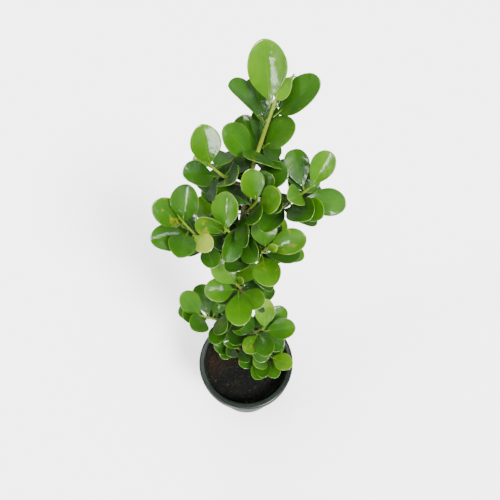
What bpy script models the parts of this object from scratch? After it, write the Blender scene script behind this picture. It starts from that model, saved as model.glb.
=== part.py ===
"""A small-leaved ficus growing in a round nursery pot.

The plant stands in the pot's soil.  One trunk leans back a little as it rises,
and short side twigs carry the leaves in loose rosettes.  Every leaf is its own
piece with its short stalk; the trunk and its twigs are one piece of wood.
X runs to the plant's right, Y to its back and Z up.  Sizes are in metres.
"""

import math

import bmesh
import bpy
from mathutils import Matrix, Vector
from mathutils.bvhtree import BVHTree

# The pot
POT_HEIGHT = 0.118
RIM_DIAMETER = 0.130
BASE_DIAMETER = 0.092
WALL = 0.0018
FLOOR = 0.0026
COLLAR_HEIGHT = 0.0145
COLLAR_STEP = 0.0060
LIP_HEIGHT = 0.0034
DRAIN_HOLES = 8
DRAIN_DIAMETER = 0.009
POT_SIDES = 56

# The soil
SOIL_DROP = 0.024
SOIL_SWELL = 0.003
ROOT_DEPTH = 0.030

# The wood
TRUNK_HEIGHT = 0.424
TRUNK_DIAMETER = 0.0095
TRUNK_TOP_DIAMETER = 0.0030
TWIG_DIAMETER = 0.0034
TWIG_TIP_DIAMETER = 0.0022

# The leaves
LEAF_LENGTH = 0.047
LEAF_WIDTH = 0.0285
LEAF_THICKNESS = 0.0011
WIDEST = 0.60
STALK_WIDTH = 0.0018
STALK_SHARE = 0.08

# Clearance between pieces that touch in life
GAP = 0.0003

# How far the trunk has wandered (right, back) in mm at each share of its height
TRUNK_LINE = (
    (0.00, 0, 0),
    (0.25, -1, 14),
    (0.46, -3, 31),
    (0.66, -4, 49),
    (0.78, 2, 61),
    (0.88, 12, 74),
    (1.00, 25, 83),
)

# One line for each twig: its name, where it leaves the trunk as a share of the
# trunk's height, and how far its tip reaches from there (right, back, up) in mm.
# The crown and the trunk's own leaves grow on the trunk, and have no line here.
TWIGS = {
    "high_left": (0.80, (-29, -16, 47)),
    "high_right": (0.79, (32, -1, 28)),
    "high_front": (0.72, (13, -9, 34)),
    "right": (0.70, (59, -5, 61)),
    "left": (0.54, (-50, -8, 99)),
    "mid_left": (0.65, (-13, -14, 34)),
    "mid_right": (0.58, (24, -16, 46)),
    "middle": (0.45, (-5, -14, 40)),
    "low_left": (0.29, (-48, -10, 45)),
    "low_right": (0.22, (22, -11, 49)),
    "foot_left": (0.11, (-15, -5, 37)),
    "foot_right": (0.06, (32, -11, 42)),
    "back_left": (0.48, (-32, 50, 32)),
    "back_right": (0.38, (32, 52, 44)),
    "back_low": (0.20, (4, 32, 36)),
}

# The leaves of each twig, from the tip down: how far below the twig's tip each
# one grows (mm), the way it points (degrees round from the right), how steeply
# it rises, how far it is rolled round its own midrib, and its length as a
# percentage of a full-grown leaf.
LEAVES = {
    "crown": (
        (0, 25, 55, 20, 50),
        (6, 112, 75, -15, 105),
        (14, 357, 52, 15, 104),
        (21, 187, 60, 0, 104),
        (27, 105, 38, 0, 85),
        (46, 345, 64, 30, 90),
        (60, 175, 62, -30, 88),
    ),
    "trunk": (
        (134, 236, -4, -10, 86),
    ),
    "high_left": (
        (0, 125, 80, -20, 85),
        (6, 75, -20, 10, 75),
        (11, 222, 46, -30, 80),
        (17, 170, -60, -60, 80),
    ),
    "high_front": (
        (0, 125, 72, -15, 75),
        (5, 324, 60, 50, 84),
    ),
    "right": (
        (0, 50, 50, 10, 74),
        (6, 115, 28, -10, 78),
        (7, 238, 42, -35, 70),
        (15, 343, 10, 30, 85),
        (20, 308, 26, 25, 74),
    ),
    "left": (
        (0, 60, 70, 20, 88),
        (5, 177, 62, -30, 85),
        (9, 266, 34, -15, 85),
        (13, 217, 34, -30, 85),
        (18, 307, 30, 15, 65),
    ),
    "mid_left": (
        (0, 84, 70, 0, 86),
        (6, 198, 56, -55, 82),
    ),
    "mid_right": (
        (0, 110, 75, -10, 86),
        (5, 5, 30, 25, 86),
        (10, 282, 22, 10, 92),
    ),
    "middle": (
        (0, 151, 52, -20, 84),
        (5, 46, 65, 20, 84),
        (9, 272, 20, 0, 96),
        (13, 207, 42, -25, 88),
        (17, 310, 48, 20, 84),
    ),
    "low_left": (
        (0, 137, 49, -10, 82),
        (5, 250, 57, -30, 86),
        (9, 152, -9, -15, 82),
        (13, 109, 26, 0, 86),
    ),
    "low_right": (
        (0, 84, 52, 0, 82),
        (5, 354, 33, 20, 88),
        (9, 40, 20, 10, 82),
        (13, 284, 37, 10, 82),
        (17, 247, 40, -10, 78),
        (22, 172, 65, -30, 82),
    ),
    "foot_left": (
        (0, 45, 69, 20, 66),
        (5, 195, 55, -25, 74),
    ),
    "foot_right": (
        (0, 325, 34, 15, 78),
        (5, 231, 58, -20, 82),
        (9, 292, 46, 15, 74),
        (13, 248, 30, -10, 78),
    ),
    "back_left": (
        (0, 120, 60, 0, 84),
        (6, 200, 30, 0, 84),
        (11, 75, 20, 0, 84),
    ),
    "back_right": (
        (0, 60, 60, 0, 84),
        (6, 345, 25, 0, 84),
        (11, 105, 15, 0, 84),
    ),
    "back_low": (
        (0, 90, 45, 0, 84),
    ),
}

# Small swings tried when a leaf would touch a neighbour: turn, rise and roll
SWINGS = sorted(
    (
        (turn, rise, roll)
        for turn in (0, -8, 8, -16, 16, -26, 26)
        for rise in (0, -8, 8, -16, 16, -26)
        for roll in (0, -20, 20, -40, 40)
    ),
    key=lambda s: (abs(s[0]) + abs(s[1]) + 0.4 * abs(s[2]), s),
)

SOIL_TOP = POT_HEIGHT - SOIL_DROP


def clear_scene():
    for item in list(bpy.data.objects):
        bpy.data.objects.remove(item)


def make_collection(name):
    group = bpy.data.collections.new(name)
    bpy.context.scene.collection.children.link(group)
    return group


def make_material(name, colour, roughness):
    material = bpy.data.materials.new(name)
    material.use_nodes = True
    shader = material.node_tree.nodes["Principled BSDF"]
    shader.inputs["Base Color"].default_value = (*colour, 1.0)
    shader.inputs["Roughness"].default_value = roughness
    material.diffuse_color = (*colour, 1.0)
    return material


def make_object(name, bm, group, material=None):
    bmesh.ops.recalc_face_normals(bm, faces=bm.faces)
    mesh = bpy.data.meshes.new(name)
    bm.to_mesh(mesh)
    bm.free()
    item = bpy.data.objects.new(name, mesh)
    group.objects.link(item)
    if material:
        mesh.materials.append(material)
    return item


def shade_smooth(item):
    for face in item.data.polygons:
        face.use_smooth = True


def revolve(name, profile, group, material, sides):
    """Turn a profile of (radius, height) points round Z into a closed solid."""
    mesh = bpy.data.meshes.new(name)
    points = [(radius, 0.0, height) for radius, height in profile]
    edges = [(i, i + 1) for i in range(len(points) - 1)]
    mesh.from_pydata(points, edges, [])
    mesh.materials.append(material)
    item = bpy.data.objects.new(name, mesh)
    group.objects.link(item)
    screw = item.modifiers.new("turn", "SCREW")
    screw.axis = "Z"
    screw.steps = sides
    screw.render_steps = sides
    screw.use_merge_vertices = True
    screw.merge_threshold = 0.00001
    screw.use_smooth_shade = True
    return item


def cut(item, cutters, label):
    """Take every object of a collection away from an item."""
    boolean = item.modifiers.new(label, "BOOLEAN")
    boolean.operation = "DIFFERENCE"
    boolean.operand_type = "COLLECTION"
    boolean.collection = cutters
    boolean.solver = "EXACT"


def smooth_line(points, steps):
    """A smooth line through a row of points, with a few steps between each."""
    ends = [2 * points[0] - points[1], *points, 2 * points[-1] - points[-2]]
    line = []
    for i in range(1, len(ends) - 2):
        before, here, after, later = ends[i - 1:i + 3]
        for step in range(steps):
            t = step / steps
            slope_in = (after - before) / 2
            slope_out = (later - here) / 2
            curve = 2 * here - 2 * after + slope_in + slope_out
            bend = 3 * after - 3 * here - 2 * slope_in - slope_out
            line.append(here + slope_in * t + bend * t ** 2 + curve * t ** 3)
    line.append(points[-1])
    return line


def point_on(line, distance):
    """The point a given distance along a line, and the line's way there."""
    for here, after in zip(line, line[1:]):
        step = (after - here).length
        if distance <= step:
            return here.lerp(after, distance / step), (after - here).normalized()
        distance -= step
    return line[-1], (line[-1] - line[-2]).normalized()


def tube(bm, line, radii, sides):
    """Skin a line with rings of the given radii and close both ends."""
    rings = []
    for i, (centre, radius) in enumerate(zip(line, radii)):
        way = line[min(i + 1, len(line) - 1)] - line[max(i - 1, 0)]
        turned = way.to_track_quat("Z", "Y").to_matrix().to_4x4()
        ring = bmesh.ops.create_circle(
            bm,
            segments=sides,
            radius=radius,
            cap_ends=i in (0, len(line) - 1),
            matrix=Matrix.Translation(centre) @ turned,
        )
        corners = set(ring["verts"])
        rings.append([e for e in bm.edges if set(e.verts) <= corners])
    for lower, upper in zip(rings, rings[1:]):
        bmesh.ops.bridge_loops(bm, edges=lower + upper)


def trunk_line():
    """The trunk from its buried foot to its tip."""
    points = [Vector((0.0, 0.0, SOIL_TOP - ROOT_DEPTH))]
    for share, right, back in TRUNK_LINE:
        spread = TRUNK_HEIGHT / 424
        points.append(Vector((right * spread, back * spread, SOIL_TOP + share * TRUNK_HEIGHT)))
    return smooth_line(points, 3)


def trunk_radius(height):
    share = max(0.0, min(1.0, (height - SOIL_TOP) / TRUNK_HEIGHT))
    slim = TRUNK_DIAMETER + (TRUNK_TOP_DIAMETER - TRUNK_DIAMETER) * share ** 0.8
    return slim / 2


def trunk_point(line, share):
    height = SOIL_TOP + share * TRUNK_HEIGHT
    for here, after in zip(line, line[1:]):
        if here.z <= height <= after.z:
            return here.lerp(after, (height - here.z) / (after.z - here.z))
    return line[-1]


def twig_line(trunk, share, reach):
    """A twig starts level in the trunk's wood and turns upward to its tip."""
    start = trunk_point(trunk, share)
    way = Vector(reach) * TRUNK_HEIGHT / 424
    elbow = start + Vector((way.x * 0.62, way.y * 0.62, way.z * 0.40))
    steps = 6
    line = []
    for i in range(steps + 1):
        t = i / steps
        line.append(start * (1 - t) ** 2 + elbow * 2 * t * (1 - t) + (start + way) * t ** 2)
    return line


def add_wood(plant, bark):
    """The trunk and its twigs, joined into one piece of wood, and their lines."""
    trunk = trunk_line()
    bm = bmesh.new()
    tube(bm, trunk, [trunk_radius(p.z) for p in trunk], 10)
    wood = make_object("stem", bm, plant, bark)
    twigs = make_collection("ficus_twigs")
    lines = {"crown": trunk, "trunk": trunk}
    for name, (share, reach) in TWIGS.items():
        line = twig_line(trunk, share, reach)
        lines[name] = line
        count = len(line) - 1
        slim = TWIG_DIAMETER - TWIG_TIP_DIAMETER
        radii = [(TWIG_DIAMETER - slim * i / count) / 2 for i in range(count + 1)]
        bm = bmesh.new()
        tube(bm, line, radii, 8)
        twig = make_object("twig_" + name, bm, twigs)
        hide_helper(twig)
    join = wood.modifiers.new("join", "BOOLEAN")
    join.operation = "UNION"
    join.operand_type = "COLLECTION"
    join.collection = twigs
    join.solver = "EXACT"
    shade_smooth(wood)
    return wood, trunk, lines


def hide_helper(item):
    item.hide_render = True
    item.display_type = "WIRE"


def pot_radius(height):
    """The outside radius of the tapered wall below the collar."""
    top = RIM_DIAMETER / 2 - COLLAR_STEP
    return BASE_DIAMETER / 2 + (top - BASE_DIAMETER / 2) * height / POT_HEIGHT


def add_pot(plant, plastic):
    """A tapered pot with drain holes and a broad lip that folds down into a skirt."""
    rim = RIM_DIAMETER / 2
    top = POT_HEIGHT
    foot = top - COLLAR_HEIGHT
    inner = pot_radius(top) - WALL
    under_lip = top - LIP_HEIGHT
    skirt = rim - 0.0010
    profile = (
        (0.0, FLOOR),
        (pot_radius(FLOOR) - WALL - 0.002, FLOOR),
        (pot_radius(FLOOR + 0.002) - WALL, FLOOR + 0.002),
        (pot_radius(foot) - WALL, foot),
        (inner, top - 0.0024),
        (inner + 0.0006, top - 0.0007),
        (inner + 0.0018, top),
        (rim - 0.0018, top),
        (rim - 0.0005, top - 0.0007),
        (rim, top - 0.0022),
        (skirt + 0.0002, foot + 0.0010),
        (skirt - 0.0004, foot),
        (skirt - WALL, foot),
        (rim - WALL - 0.0004, under_lip),
        (pot_radius(under_lip), under_lip),
        (pot_radius(0.002), 0.002),
        (BASE_DIAMETER / 2 - 0.002, 0.0),
        (0.0, 0.0),
    )
    pot = revolve("pot", profile, plant, plastic, POT_SIDES)
    holes = make_collection("pot_drain_cutters")
    reach = BASE_DIAMETER / 2 - WALL - 0.004 - DRAIN_DIAMETER / 2
    for i in range(DRAIN_HOLES):
        angle = math.tau * (i + 0.5) / DRAIN_HOLES
        spot = Matrix.Translation((reach * math.cos(angle), reach * math.sin(angle), FLOOR / 2))
        bm = bmesh.new()
        bmesh.ops.create_cone(
            bm,
            cap_ends=True,
            segments=12,
            radius1=DRAIN_DIAMETER / 2,
            radius2=DRAIN_DIAMETER / 2,
            depth=FLOOR * 3,
            matrix=spot,
        )
        hide_helper(make_object("drain_%d" % (i + 1), bm, holes))
    cut(pot, holes, "drain")
    return pot


def add_soil(plant, cutters, earth, trunk):
    """A plug of soil that fills the pot, with a fitted hole for the trunk."""
    edge = SOIL_TOP - 0.001
    wall = WALL + GAP
    profile = (
        (0.0, FLOOR + GAP),
        (pot_radius(FLOOR) - wall - 0.0026, FLOOR + GAP),
        (pot_radius(FLOOR + 0.003) - wall - 0.0002, FLOOR + 0.003),
        (pot_radius(edge) - wall, edge),
        (pot_radius(edge) - wall - 0.004, SOIL_TOP),
        ((RIM_DIAMETER / 2) * 0.66, SOIL_TOP + SOIL_SWELL * 0.25),
        ((RIM_DIAMETER / 2) * 0.45, SOIL_TOP + SOIL_SWELL * 0.65),
        ((RIM_DIAMETER / 2) * 0.22, SOIL_TOP + SOIL_SWELL),
        (0.0, SOIL_TOP + SOIL_SWELL),
    )
    soil = revolve("soil", profile[::-1], plant, earth, 40)
    line = [p for p in trunk if p.z < SOIL_TOP + 0.12 * TRUNK_HEIGHT]
    line[0] = line[0] - Vector((0.0, 0.0, GAP))
    bm = bmesh.new()
    tube(bm, line, [trunk_radius(p.z) + GAP for p in line], 10)
    hole = make_object("trunk_hole", bm, cutters)
    hide_helper(hole)
    cut(soil, cutters, "trunk")
    return soil


def leaf_half_width(share):
    """Half the blade's width, as a share of its greatest, along its length."""
    if share < WIDEST:
        return math.sin(math.pi / 2 * share / WIDEST) ** 0.9
    return math.sqrt(max(0.0, 1 - ((share - WIDEST) / (1 - WIDEST)) ** 2))


def leaf_shape(length, droop, cup):
    """A closed leaf lying along X with its upper side up and its stalk at X = 0."""
    width = LEAF_WIDTH * length / LEAF_LENGTH
    stalk = STALK_SHARE * length
    blade = length - stalk
    rows = (-1.0, 0.0, 0.12, 0.34, 0.60, 0.82, 0.95, 1.0)
    across = 4
    bm = bmesh.new()
    bmesh.ops.create_grid(bm, x_segments=len(rows) - 1, y_segments=across, size=1.0)
    bmesh.ops.duplicate(bm, geom=bm.verts[:] + bm.edges[:] + bm.faces[:])
    half = len(bm.verts) // 2
    bm.verts.ensure_lookup_table()
    for i, vert in enumerate(bm.verts):
        row = rows[round((vert.co.x + 1) / 2 * (len(rows) - 1))]
        v = round((vert.co.y + 1) / 2 * across) / across * 2 - 1
        share = max(row, 0.0)
        x = stalk + blade * row if row >= 0 else 0.0
        y = v * max(leaf_half_width(share) * width / 2, STALK_WIDTH / 2 * (row < 0.5))
        z = cup * width * (y / width * 2) ** 2 - droop * length * (x / length) ** 2
        thick = LEAF_THICKNESS * (1 - v * v) * (row < 1.0)
        vert.co = (x, y, z + (0.5 if i < half else -0.5) * thick)
    bmesh.ops.remove_doubles(bm, verts=bm.verts, dist=0.00002)
    rim = [e for e in bm.edges if e.is_boundary]
    bmesh.ops.contextual_create(bm, geom=rim)
    bmesh.ops.recalc_face_normals(bm, faces=bm.faces)
    return bm


def leaf_place(line, down, turn, rise, roll, on_trunk):
    """Where a leaf's stalk leaves the twig, as a matrix for the leaf shape."""
    turn, rise, roll = math.radians(turn), math.radians(rise), math.radians(roll)
    along = Vector((math.cos(rise) * math.cos(turn), math.cos(rise) * math.sin(turn), math.sin(rise)))
    upper = Vector((-math.sin(rise) * math.cos(turn), -math.sin(rise) * math.sin(turn), math.cos(rise)))
    upper.rotate(Matrix.Rotation(roll, 3, along))
    side = upper.cross(along)
    spot, way = point_on(line[::-1], down)
    radius = max(TWIG_DIAMETER / 2, trunk_radius(spot.z) if on_trunk else 0.0)
    if down == 0:
        start = spot - way * (GAP + STALK_WIDTH / 2)
    else:
        out = (along - way * along.dot(way)).normalized()
        lean = abs(along.dot(way))
        start = spot + out * (radius + GAP + STALK_WIDTH / 2 * lean)
    turned = Matrix((along, side, upper)).transposed().to_4x4()
    return Matrix.Translation(start) @ turned


def swollen_tree(bm, extra):
    """The leaf grown by the clearance it must keep from its neighbours."""
    bm.normal_update()
    points = [v.co + v.normal * extra for v in bm.verts]
    faces = [[v.index for v in f.verts] for f in bm.faces]
    return BVHTree.FromPolygons(points, faces)


def find_room(line, row, shape, on_trunk, solids):
    """The leaf swung just far enough to stand clear of all that has grown before it."""
    down, turn, rise, roll = row[:4]
    length, droop, cup = shape
    for shrink in (1.0, 0.85, 0.7, 0.55):
        for swing in SWINGS:
            bm = leaf_shape(length * shrink, droop, cup)
            down_twig = down * TRUNK_HEIGHT / 424
            way = (turn + swing[0], rise + swing[1], roll + swing[2])
            bm.transform(leaf_place(line, down_twig, *way, on_trunk))
            bm.verts.index_update()
            tree = swollen_tree(bm, GAP)
            if not any(tree.overlap(other) for other in solids):
                return bm
            bm.free()
    return None


def add_leaves(plant, lines, solids, green, young):
    """Grow every leaf in turn; the two nearest each tip are young and bright."""
    for name, rows in LEAVES.items():
        on_trunk = name in ("crown", "trunk")
        for i, row in enumerate(rows):
            length = LEAF_LENGTH * row[4] / 100
            droop = 0.09 + 0.05 * math.sin(2.4 * i + row[1])
            cup = 0.10 + 0.04 * math.sin(1.7 * i + row[2])
            grown = find_room(lines[name], row, (length, droop, cup), on_trunk, solids)
            if not grown:
                raise ValueError("no room for leaf %d of %s" % (i + 1, name))
            solids.append(swollen_tree(grown, 0.0))
            material = young if i < 2 else green
            leaf = make_object("leaf_%s_%d" % (name, i + 1), grown, plant, material)
            shade_smooth(leaf)


def solid_tree(item):
    """The finished surface of an object, for testing what touches it."""
    graph = bpy.context.evaluated_depsgraph_get()
    return BVHTree.FromObject(item, graph)


def main():
    clear_scene()
    plant = make_collection("potted_ficus")
    cutters = make_collection("ficus_cutters")
    plastic = make_material("pot_plastic", (0.020, 0.030, 0.022), 0.30)
    earth = make_material("potting_soil", (0.045, 0.032, 0.020), 0.95)
    bark = make_material("ficus_bark", (0.16, 0.13, 0.07), 0.75)
    green = make_material("ficus_leaf", (0.09, 0.21, 0.02), 0.35)
    young = make_material("ficus_leaf_young", (0.26, 0.42, 0.03), 0.35)
    pot = add_pot(plant, plastic)
    wood, trunk, lines = add_wood(plant, bark)
    soil = add_soil(plant, cutters, earth, trunk)
    solids = [solid_tree(item) for item in (pot, soil, wood)]
    add_leaves(plant, lines, solids, green, young)


main()
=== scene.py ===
# %% [markdown]
# # A small ficus in a nursery pot
#
# The CAD frame gives the plant's plan. This notebook grows the real-looking plant on it:
# each of the larger leaves is measured from the frame, and the wood, the pot and the soil
# repeat the plan's sizes by name. Each step first says what the piece is on the real
# plant, how it could be made and why it is made this way.

import math
import random

import bmesh
import bpy
import numpy as np
from mathutils import Matrix, Vector, noise
from mathutils.bvhtree import BVHTree


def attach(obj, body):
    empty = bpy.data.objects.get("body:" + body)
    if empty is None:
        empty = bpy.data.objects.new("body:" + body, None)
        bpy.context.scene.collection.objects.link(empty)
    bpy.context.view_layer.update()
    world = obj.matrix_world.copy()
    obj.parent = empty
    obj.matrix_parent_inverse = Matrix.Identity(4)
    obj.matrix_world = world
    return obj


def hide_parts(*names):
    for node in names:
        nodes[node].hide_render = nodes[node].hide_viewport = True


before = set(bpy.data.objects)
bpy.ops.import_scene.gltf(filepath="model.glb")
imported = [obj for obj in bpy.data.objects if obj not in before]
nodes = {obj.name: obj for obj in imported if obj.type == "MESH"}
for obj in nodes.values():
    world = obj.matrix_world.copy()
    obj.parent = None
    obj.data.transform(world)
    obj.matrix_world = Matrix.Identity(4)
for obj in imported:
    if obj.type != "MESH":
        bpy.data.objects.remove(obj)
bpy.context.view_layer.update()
MM = 0.001
print(len(nodes), "CAD nodes,", sum(name.startswith("leaf") for name in nodes), "of them leaves")

# %% [markdown]
# ## Small tools
#
# Every finish here is procedural: noise, waves and the piece's own attributes, mixed and
# sent to one Principled shader. Painted image textures could do the same, but a node
# graph stays sharp at any size and needs no files. Written out node by node such graphs
# are long, so `Graph` adds a node, links what it is given and returns its output.
# `Finish` is a graph for one material. The studio's world is built with `Graph` as well.


# %% A short way to write a node graph
class Graph:
    """Builds the nodes of a material or a world: each call returns an output to use."""

    def __init__(self, owner):
        owner.use_nodes = True
        self.tree = owner.node_tree

    def feed(self, socket, value):
        if isinstance(value, bpy.types.NodeSocket):
            self.tree.links.new(value, socket)
        else:
            socket.default_value = value

    def add(self, kind, inputs, output=0, **settings):
        made = self.tree.nodes.new(kind)
        for key, value in settings.items():
            setattr(made, key, value)
        for socket, value in inputs.items():
            self.feed(made.inputs[socket], value)
        return made.outputs[output]

    def place(self):
        return self.add("ShaderNodeTexCoord", {}, output="Object")

    def attribute(self, name):
        return self.add("ShaderNodeAttribute", {}, output="Fac", attribute_name=name)

    def maths(self, operation, a, b=0.0, c=0.0):
        return self.add("ShaderNodeMath", {0: a, 1: b, 2: c}, operation=operation)

    def noise(self, scale, detail=3.0, rough=0.55, where=None, warp=0.0):
        inputs = {"Vector": where or self.place(), "Scale": scale, "Detail": detail}
        return self.add(
            "ShaderNodeTexNoise", {**inputs, "Roughness": rough, "Distortion": warp}, output="Fac"
        )

    def span(self, value, low, high, to_low=0.0, to_high=1.0):
        """Stretch a value from one span to another, and stop it at the ends."""
        inputs = {"Value": value, "From Min": low, "From Max": high}
        return self.add("ShaderNodeMapRange", {**inputs, "To Min": to_low, "To Max": to_high})

    def ramp(self, value, stops):
        made = self.tree.nodes.new("ShaderNodeValToRGB")
        self.feed(made.inputs["Fac"], value)
        points = made.color_ramp.elements
        while len(points) < len(stops):
            points.new(0.5)
        for point, (spot, colour) in zip(points, stops):
            point.position = spot
            point.color = (*colour, 1.0)
        return made.outputs["Color"]

    def mix(self, share, a, b, blend="MIX"):
        made = self.tree.nodes.new("ShaderNodeMix")
        made.data_type = "RGBA"
        made.blend_type = blend
        for socket, value in ((made.inputs[0], share), (made.inputs[6], a), (made.inputs[7], b)):
            self.feed(socket, (*value, 1.0) if isinstance(value, tuple) else value)
        return made.outputs[2]

    def bump(self, height, distance, strength):
        inputs = {"Height": height, "Distance": distance, "Strength": strength}
        return self.add("ShaderNodeBump", inputs)


class Finish(Graph):
    """A material with one Principled shader, its constant values on the shader's sockets."""

    def __init__(self, name, **constants):
        self.material = bpy.data.materials.new(name)
        super().__init__(self.material)
        self.shader = self.tree.nodes["Principled BSDF"]
        for socket, value in constants.items():
            self.shader.inputs[socket.replace("_", " ")].default_value = value

    def finish(self, colour=None, roughness=None, normal=None):
        for socket, value in (("Base Color", colour), ("Roughness", roughness), ("Normal", normal)):
            if value is not None:
                self.feed(self.shader.inputs[socket], value)
        return self.material


# %% Directions and places
def way_of(turn, rise):
    """A direction from two angles in degrees: round from the right, and up."""
    turn, rise = math.radians(turn), math.radians(rise)
    return Vector((math.cos(rise) * math.cos(turn), math.cos(rise) * math.sin(turn), math.sin(rise)))


def facing(spot, way):
    """The place of a thing at a spot, with its own Z turned to a direction."""
    return Matrix.Translation(spot) @ way.to_track_quat("Z", "Y").to_matrix().to_4x4()


print("right, back and up:", *([round(c) for c in way_of(*a)] for a in ((0, 0), (90, 0), (0, 90))))


# %% [markdown]
# ## The leaf's finish
#
# A ficus leaf is thick and waxy. Its upper side is a deep saturated green under a clear
# wax that mirrors the lamps, and a thin yellow-green line runs round its margin. The
# midrib and the side veins hardly differ in colour. The underside is paler and duller.
# Young leaves are yellow-green and old ones deep green, and a few have yellow flecks.
# Each blade is also painted darker towards its stalk: painted shade where the leaves crowd.
#
# The leaf's mesh carries attributes: `along` (0 at the stalk to 1 at the tip), `off_rib`
# and `off_rim` (mm from the midrib and from the margin), `under` (1 on the underside),
# `tone` (0 oldest to 1 youngest) and `flecked`. One material reads them all. The wax is
# the shader's coat, so that the highlights stay sharp while the green below is softer.
# Real wax follows the small puckers between the veins, so the coat reads the same bump,
# and its mirror images come out broken up and not like those on plastic.


# %% Leaf material
LEAF_GREENS = (
    (0.00, (0.0028, 0.0150, 0.0014)),
    (0.25, (0.0068, 0.0320, 0.0016)),
    (0.50, (0.0170, 0.0680, 0.0018)),
    (0.72, (0.0360, 0.1120, 0.0018)),
    (0.88, (0.0640, 0.1600, 0.0020)),
    (1.00, (0.1800, 0.2300, 0.0240)),
)
MARGIN_GREENS = (
    (0.0, (0.020, 0.062, 0.003)),
    (0.6, (0.085, 0.170, 0.004)),
    (1.0, (0.260, 0.320, 0.040)),
)
FLECK_YELLOW = (0.190, 0.165, 0.006)
UNDERSIDE = (0.040, 0.090, 0.014)
VEIN_PACE = 74.0  # radians of wave along a blade, which makes about twelve side veins
VEIN_SLANT = 0.045  # how far forward a vein runs per mm from the midrib, in blade lengths


def leaf_finish():
    g = Finish("leaf_wax", Coat_Weight=0.80, Coat_Roughness=0.14, Specular_IOR_Level=0.10)
    tone = g.attribute("tone")
    under = g.attribute("under")
    along = g.attribute("along")
    off_rib = g.attribute("off_rib")
    off_rim = g.attribute("off_rim")
    cloud = g.noise(55.0, 3.0)
    grain = g.noise(900.0, 2.0)
    age = g.maths("ADD", tone, g.span(cloud, 0.3, 0.7, -0.09, 0.08))
    # Painted shade: the blade is darkened towards its stalk, where the crowded leaves shade it
    age = g.maths("ADD", age, g.span(along, 0.0, 0.8, -0.13, 0.03))
    blade = g.ramp(age, LEAF_GREENS)
    pale = g.ramp(age, MARGIN_GREENS)
    # Side veins slant forward from the midrib to the margin
    slant = g.maths("MULTIPLY_ADD", off_rib, -VEIN_SLANT, along)
    wave = g.maths("SINE", g.maths("MULTIPLY", slant, VEIN_PACE))
    vein = g.maths("MULTIPLY", g.span(wave, 0.80, 1.0), g.span(off_rib, 0.3, 2.0))
    blade = g.mix(g.maths("MULTIPLY", vein, 0.10), blade, pale)
    rib = g.span(off_rib, 0.15, 0.55, 1.0, 0.0)
    rib = g.maths("MULTIPLY", rib, g.span(along, 0.1, 1.0, 0.32, 0.03))
    blade = g.mix(rib, blade, pale)
    rim = g.span(off_rim, 0.08, 0.48, 1.0, 0.0)
    blade = g.mix(g.maths("MULTIPLY", rim, 0.75), blade, pale)
    # Yellow flecks and a tired brown spot or two
    spot = g.span(g.noise(130.0, 3.0, 0.6, warp=0.6), 0.56, 0.66)
    spot = g.maths("MULTIPLY", spot, g.attribute("flecked"))
    blade = g.mix(g.maths("MULTIPLY", spot, 0.65), blade, FLECK_YELLOW)
    back = g.mix(0.5, blade, UNDERSIDE)
    colour = g.mix(under, blade, back)
    rough = g.span(g.noise(160.0, 2.0), 0.3, 0.7, 0.30, 0.42)
    rough = g.maths("ADD", rough, g.maths("MULTIPLY", under, 0.22))
    relief = g.maths("ADD", g.maths("MULTIPLY", vein, 0.6), g.maths("MULTIPLY", grain, 0.18))
    relief = g.maths("ADD", relief, g.maths("MULTIPLY", g.noise(150.0, 1.0), 6.0))
    puckered = g.bump(relief, 0.00012, 0.6)
    g.feed(g.shader.inputs["Coat Normal"], puckered)
    return g.finish(colour, rough, puckered)


leaf_wax = leaf_finish()
print("the leaf's finish has", len(leaf_wax.node_tree.nodes), "nodes")

# %% [markdown]
# ## Reading the leaves' plan
#
# Each CAD leaf is a coarse closed shape. Four things are measured from it: where its
# stalk starts, which way its midrib runs, which side is up, and how far it arches and
# cups. A least-squares fit of the height over the chord gives the last two. A fine leaf
# can then be grown in just the same place, with the same outline. The places could be
# typed in again here, but measured ones always agree with the plan.


# %% Measure each CAD leaf
END_SLICE = 1.2 * MM  # corners this near an end of the leaf belong to that end


def corners_of(item):
    co = np.empty(len(item.data.vertices) * 3)
    item.data.vertices.foreach_get("co", co)
    return co.reshape(-1, 3)


def measure_leaf(item):
    points = np.unique(np.round(corners_of(item), 7), axis=0)
    middle = points.mean(axis=0)
    axis = np.linalg.svd(points - middle)[2][0]
    spots = (points - middle) @ axis
    low = points[spots < spots.min() + END_SLICE]
    high = points[spots > spots.max() - END_SLICE]
    stalk, tip = (low, high) if len(low) > len(high) else (high, low)
    base, tip = stalk.mean(axis=0), tip.mean(axis=0)
    length = np.linalg.norm(tip - base)
    along = (tip - base) / length
    flat = points - base
    rest = flat - np.outer(flat @ along, along)
    side = np.linalg.svd(rest)[2][0]
    up = np.cross(along, side)
    x = flat @ along / length
    y = flat @ side
    half = np.abs(y).max()
    terms = np.stack([x * (1 - x), (y / half) ** 2, np.ones_like(x)], axis=1)
    arch, cup, _ = np.linalg.lstsq(terms, flat @ up, rcond=None)[0]
    if arch < 0:
        up, side, arch, cup = -up, -side, -arch, -cup
    turned = Matrix((along, side, up)).transposed().to_4x4()
    return {
        "place": Matrix.Translation(base) @ turned,
        "length": float(length),
        "half": float(half),
        "arch": float(arch / length),
        "cup": float(cup / half),
    }


plans = {name: measure_leaf(item) for name, item in nodes.items() if name.startswith("leaf_")}
for name in sorted(plans)[:4]:
    p = plans[name]
    print(name, "length %.1f mm, width %.1f mm, arch %.2f, cup %.2f" % (
        p["length"] / MM, p["half"] * 2 / MM, p["arch"], p["cup"]))

# %% [markdown]
# ## Growing a fine leaf
#
# The outline is a half sine up to the widest place and half an ellipse beyond it, as in
# the plan. A grid is laid over it. Its rows are straight across the lower blade and bend
# into arcs towards the tip, until the last row is the tip's own margin, so no faces are
# pinched. The blade is folded a little along the midrib, cupped, arched and gently
# waved, with a groove along the midrib above and a rib below. The underside is a second
# grid, and bridging the two rims gives a closed leaf of true thickness. One grid with a
# Solidify modifier would be quicker, but its margin would be square, and it could not
# have a groove above and a rib below. The stalk is a short bent tube that runs into the
# midrib.

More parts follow.
